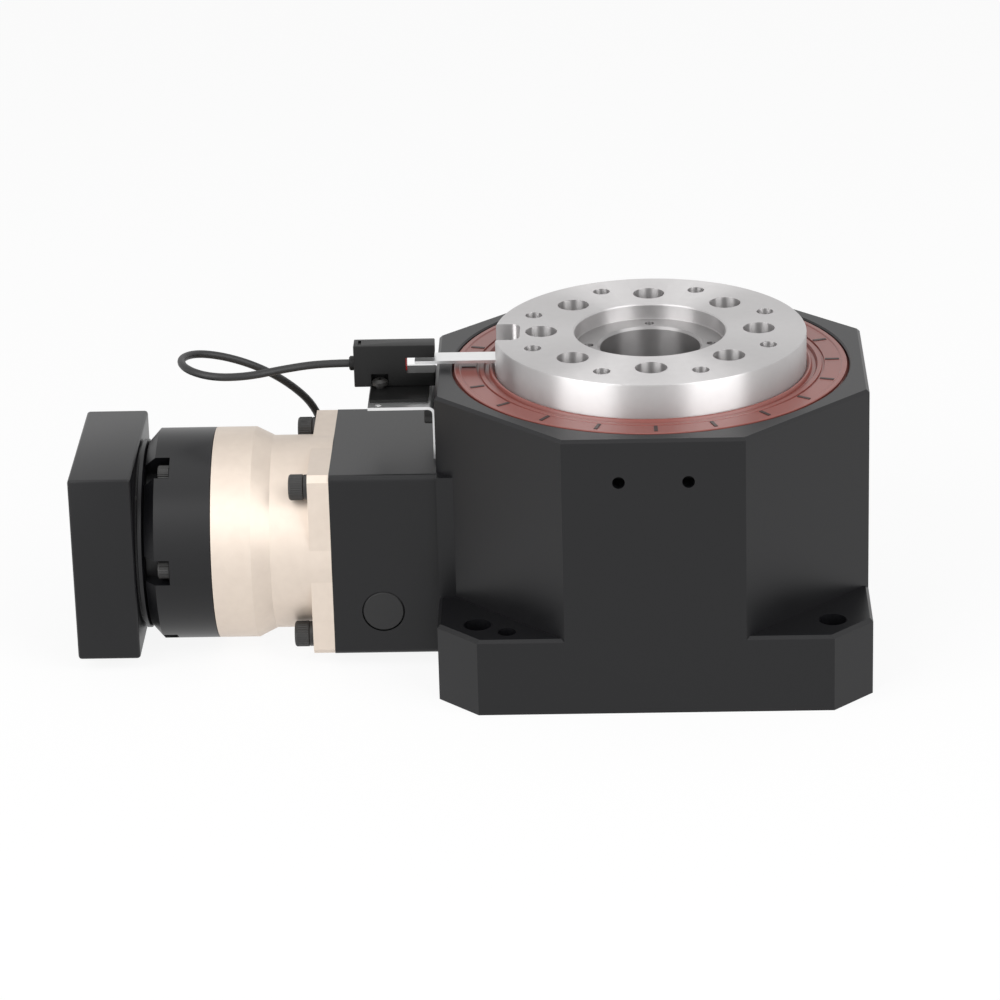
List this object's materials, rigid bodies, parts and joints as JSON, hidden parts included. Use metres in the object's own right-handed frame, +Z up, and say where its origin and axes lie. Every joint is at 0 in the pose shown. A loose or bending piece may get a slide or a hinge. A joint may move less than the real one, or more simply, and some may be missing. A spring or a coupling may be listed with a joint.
{
  "type": "hollow rotary platform",
  "caption": "Hollow rotary platform: octagonal housing with a bored turntable on a crossed roller bearing, driven through bevel gears by a planetary gearbox, with a home sensor.",
  "frame": {"origin": "on the turntable's axis at the underside of the base, in the middle of the base bolts", "axes": "+Z up along the turntable's axis, +X to the right away from the gearbox, +Y to the back"},
  "size_m": [0.2598, 0.1534, 0.1052],
  "materials": {
    "black_anodised": "black anodised aluminium, machined",
    "champagne_paint": "champagne anodised or painted gearbox barrel",
    "plated_steel": "machined steel with a bright plating",
    "ground_steel": "turned and ground steel",
    "gear_steel": "hardened gear steel",
    "bearing_steel": "ground bearing steel",
    "black_oxide_steel": "black oxide steel fasteners",
    "zinc_steel": "zinc plated sheet and screws",
    "seal_rubber": "red-brown fluoro rubber",
    "plug_plastic": "black moulded plug",
    "sensor_plastic": "black moulded sensor case",
    "cable_jacket": "black cable jacket",
    "core_insulation": "coloured core insulation"
  },
  "bodies": {
    "root": {"housing": "black_anodised", "bottom_cover": "black_anodised", "bottom_cover_screws": "black_oxide_steel", "lower_shaft_seal": "seal_rubber", "table_seal": "seal_rubber", "main_bearing_outer_ring": "bearing_steel", "main_bearing_screws": "black_oxide_steel", "pinion_bearing_outer_rings": "bearing_steel", "coupling_housing": "black_anodised", "coupling_housing_screws": "black_oxide_steel", "access_plug": "plug_plastic", "gearbox_housing": "champagne_paint", "flange_screws": "black_oxide_steel", "flange_spring_washers": "zinc_steel", "output_seal": "seal_rubber", "gearbox_bearing_outer_rings": "bearing_steel", "input_housing": "black_anodised", "input_housing_screws": "black_oxide_steel", "motor_plate": "black_anodised", "motor_plate_screws": "black_oxide_steel", "motor_plate_plug": "plug_plastic", "sensor_body": "sensor_plastic", "sensor_screws": "zinc_steel", "sensor_nuts": "zinc_steel", "sensor_mount": "sensor_plastic", "sensor_bracket": "zinc_steel", "bracket_screws": "black_oxide_steel", "cable_gland": "sensor_plastic", "sensor_cable": "cable_jacket", "sensor_cable_coil": "cable_jacket", "cable_cores": "core_insulation"},
    "table": {"turntable": "plated_steel", "hollow_shaft": "ground_steel", "table_screws": "black_oxide_steel", "main_bearing_inner_ring": "bearing_steel", "ring_gear": "gear_steel", "sensor_dog": "zinc_steel", "dog_screw": "black_oxide_steel"},
    "roller_set": {"main_bearing_rollers": "bearing_steel"},
    "drive_shaft": {"pinion_shaft": "ground_steel", "pinion_lock_nut": "black_oxide_steel", "pinion_bearing_inner_rings": "bearing_steel", "clamp_collar": "black_oxide_steel", "clamp_screw": "black_oxide_steel", "planet_carrier": "ground_steel", "planet_pins": "ground_steel", "output_bearing_inner_ring": "bearing_steel"},
    "drive_ball_set": {"drive_bearing_balls": "bearing_steel"},
    "planet_1": {"planet_gear_1": "gear_steel"},
    "planet_2": {"planet_gear_2": "gear_steel"},
    "planet_3": {"planet_gear_3": "gear_steel"},
    "input_shaft": {"sun_shaft": "ground_steel", "input_collar": "black_oxide_steel", "input_collar_screw": "black_oxide_steel", "input_bearing_inner_ring": "bearing_steel"},
    "input_ball_set": {"input_bearing_balls": "bearing_steel"}
  },
  "joints": [
    {"name": "table_spin", "type": "hinge", "parent": "root", "child": "table", "pos_m": [0, 0, 0.094], "axis": [0, 0, 1], "continuous": true},
    {"name": "roller_set_spin", "type": "hinge", "parent": "root", "child": "roller_set", "pos_m": [0, 0, 0.0755], "axis": [0, 0, 1], "continuous": true},
    {"name": "drive_shaft_spin", "type": "hinge", "parent": "root", "child": "drive_shaft", "pos_m": [-0.088, 0, 0.0362], "axis": [1, 0, 0], "continuous": true},
    {"name": "drive_ball_set_spin", "type": "hinge", "parent": "root", "child": "drive_ball_set", "pos_m": [-0.06, 0, 0.0362], "axis": [1, 0, 0], "continuous": true},
    {"name": "input_shaft_spin", "type": "hinge", "parent": "root", "child": "input_shaft", "pos_m": [-0.15, 0, 0.0362], "axis": [1, 0, 0], "continuous": true},
    {"name": "input_ball_set_spin", "type": "hinge", "parent": "root", "child": "input_ball_set", "pos_m": [-0.153, 0, 0.0362], "axis": [1, 0, 0], "continuous": true},
    {"name": "planet_1_spin", "type": "hinge", "parent": "drive_shaft", "child": "planet_1", "pos_m": [-0.132, 0, 0.0512], "axis": [1, 0, 0], "continuous": true},
    {"name": "planet_2_spin", "type": "hinge", "parent": "drive_shaft", "child": "planet_2", "pos_m": [-0.132, 0.01299, 0.0287], "axis": [1, 0, 0], "continuous": true},
    {"name": "planet_3_spin", "type": "hinge", "parent": "drive_shaft", "child": "planet_3", "pos_m": [-0.132, -0.01299, 0.0287], "axis": [1, 0, 0], "continuous": true}
  ],
  "couplings": [
    {"joint": "roller_set_spin", "follows": "table_spin", "ratio": 0.47643},
    {"joint": "drive_shaft_spin", "follows": "table_spin", "ratio": 3},
    {"joint": "drive_ball_set_spin", "follows": "table_spin", "ratio": 1.2761},
    {"joint": "input_shaft_spin", "follows": "table_spin", "ratio": 12},
    {"joint": "input_ball_set_spin", "follows": "table_spin", "ratio": 5.1923},
    {"joint": "planet_1_spin", "follows": "table_spin", "ratio": -9},
    {"joint": "planet_2_spin", "follows": "table_spin", "ratio": -9},
    {"joint": "planet_3_spin", "follows": "table_spin", "ratio": -9}
  ]
}
